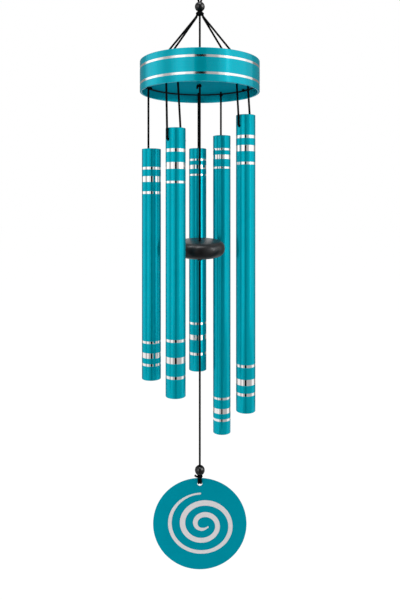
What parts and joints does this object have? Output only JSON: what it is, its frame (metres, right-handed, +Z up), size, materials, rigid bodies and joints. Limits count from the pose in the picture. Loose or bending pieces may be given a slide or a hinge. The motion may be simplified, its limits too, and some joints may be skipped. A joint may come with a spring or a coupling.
{
  "type": "wind chime",
  "caption": "Hanging wind chime: banded hoop canopy on cords, metal tubes round a disc striker, and a round sail with an engraved spiral.",
  "frame": {"origin": "inside the top of the hanging loop, where a hook bears", "axes": "+Z up along the hanging cord; -Y is the front, the way the engraved face of the sail looks; +X is to the right seen from the front"},
  "size_m": [0.1216, 0.1216, 0.6204],
  "materials": {
    "teal_aluminium": "teal anodised, with polished bands",
    "teal_plate": "teal paint",
    "pin_steel": "plain steel",
    "black_cord": "black braided cord",
    "black_bead": "gloss black",
    "black_wood": "satin black"
  },
  "bodies": {
    "hanger": {"hanging_loop": "black_cord", "top_bead": "black_bead"},
    "swivel_knot": {"gather_knot": "black_cord"},
    "canopy": {"suspension_cord_left_front": "black_cord", "suspension_cord_left_back": "black_cord", "suspension_cord_right_back": "black_cord", "suspension_cord_right_front": "black_cord", "suspension_knot_left_front": "black_cord", "suspension_knot_left_back": "black_cord", "suspension_knot_right_back": "black_cord", "suspension_knot_right_front": "black_cord", "centre_cord": "black_cord", "canopy_hoop": "teal_aluminium", "canopy_plate": "teal_plate", "tube_knot_a": "black_cord", "tube_stitch_b": "black_cord", "tube_knot_c": "black_cord", "tube_knot_d": "black_cord", "tube_stitch_e": "black_cord"},
    "tube_a": {"chime_tube_a": "teal_aluminium", "tube_cord_a": "black_cord", "tube_pin_a": "pin_steel"},
    "tube_b": {"chime_tube_b": "teal_aluminium", "tube_cord_b": "black_cord", "tube_inner_cord_b": "black_cord", "outer_knot_b": "black_cord", "inner_knot_b": "black_cord"},
    "tube_c": {"chime_tube_c": "teal_aluminium", "tube_cord_c": "black_cord", "tube_pin_c": "pin_steel"},
    "tube_d": {"chime_tube_d": "teal_aluminium", "tube_cord_d": "black_cord", "tube_pin_d": "pin_steel"},
    "tube_e": {"chime_tube_e": "teal_aluminium", "tube_cord_e": "black_cord", "tube_inner_cord_e": "black_cord", "outer_knot_e": "black_cord", "inner_knot_e": "black_cord"},
    "striker_hinge": {"centre_knot": "black_cord"},
    "striker": {"striker_cord": "black_cord", "striker": "black_wood", "striker_knot": "black_cord"},
    "sail_line": {"sail_cord": "black_cord", "sail_bead": "black_bead"},
    "sail": {"sail_knot": "black_cord", "sail_tie_left": "black_cord", "sail_tie_right": "black_cord", "sail": "teal_aluminium"}
  },
  "joints": [
    {"name": "canopy_swivel", "type": "hinge", "parent": "hanger", "child": "swivel_knot", "pos_m": [0, 0, -0.051], "axis": [0, 0, 1], "range_deg": [-180, 180]},
    {"name": "canopy_swing", "type": "hinge", "parent": "swivel_knot", "child": "canopy", "pos_m": [0, 0, -0.0544], "axis": [1, 0, 0], "range_deg": [-5, 5]},
    {"name": "tube_a_swing", "type": "hinge", "parent": "canopy", "child": "tube_a", "pos_m": [-0.04849, -0.00995, -0.1245], "axis": [-0.2011, 0.9796, 0], "range_deg": [-1, 12]},
    {"name": "tube_b_swing", "type": "hinge", "parent": "canopy", "child": "tube_b", "pos_m": [-0.02286, -0.04391, -0.1245], "axis": [-0.7193, -0.6947, 0], "range_deg": [-1, 8]},
    {"name": "tube_c_swing", "type": "hinge", "parent": "canopy", "child": "tube_c", "pos_m": [-0.00233, 0.04945, -0.1245], "axis": [0.9989, 0.0471, 0], "range_deg": [-1, 12]},
    {"name": "tube_d_swing", "type": "hinge", "parent": "canopy", "child": "tube_d", "pos_m": [0.024, 0.04329, -0.1245], "axis": [0.8746, -0.4848, 0], "range_deg": [-1, 12]},
    {"name": "tube_e_swing", "type": "hinge", "parent": "canopy", "child": "tube_e", "pos_m": [0.04522, -0.02013, -0.1245], "axis": [-0.7193, -0.6947, 0], "range_deg": [-1, 12]},
    {"name": "striker_sway", "type": "hinge", "parent": "canopy", "child": "striker_hinge", "pos_m": [0, 0, -0.1245], "axis": [0, 1, 0], "range_deg": [-3.2, 3.2]},
    {"name": "striker_swing", "type": "hinge", "parent": "striker_hinge", "child": "striker", "pos_m": [0, 0, -0.1281], "axis": [1, 0, 0], "range_deg": [-2.8, 2.8]},
    {"name": "sail_swing", "type": "hinge", "parent": "striker", "child": "sail_line", "pos_m": [0, 0, -0.30435], "axis": [1, 0, 0], "range_deg": [-6, 6]},
    {"name": "sail_twist", "type": "hinge", "parent": "sail_line", "child": "sail", "pos_m": [0, 0, -0.5227], "axis": [0, 0, 1], "range_deg": [-180, 180]}
  ]
}
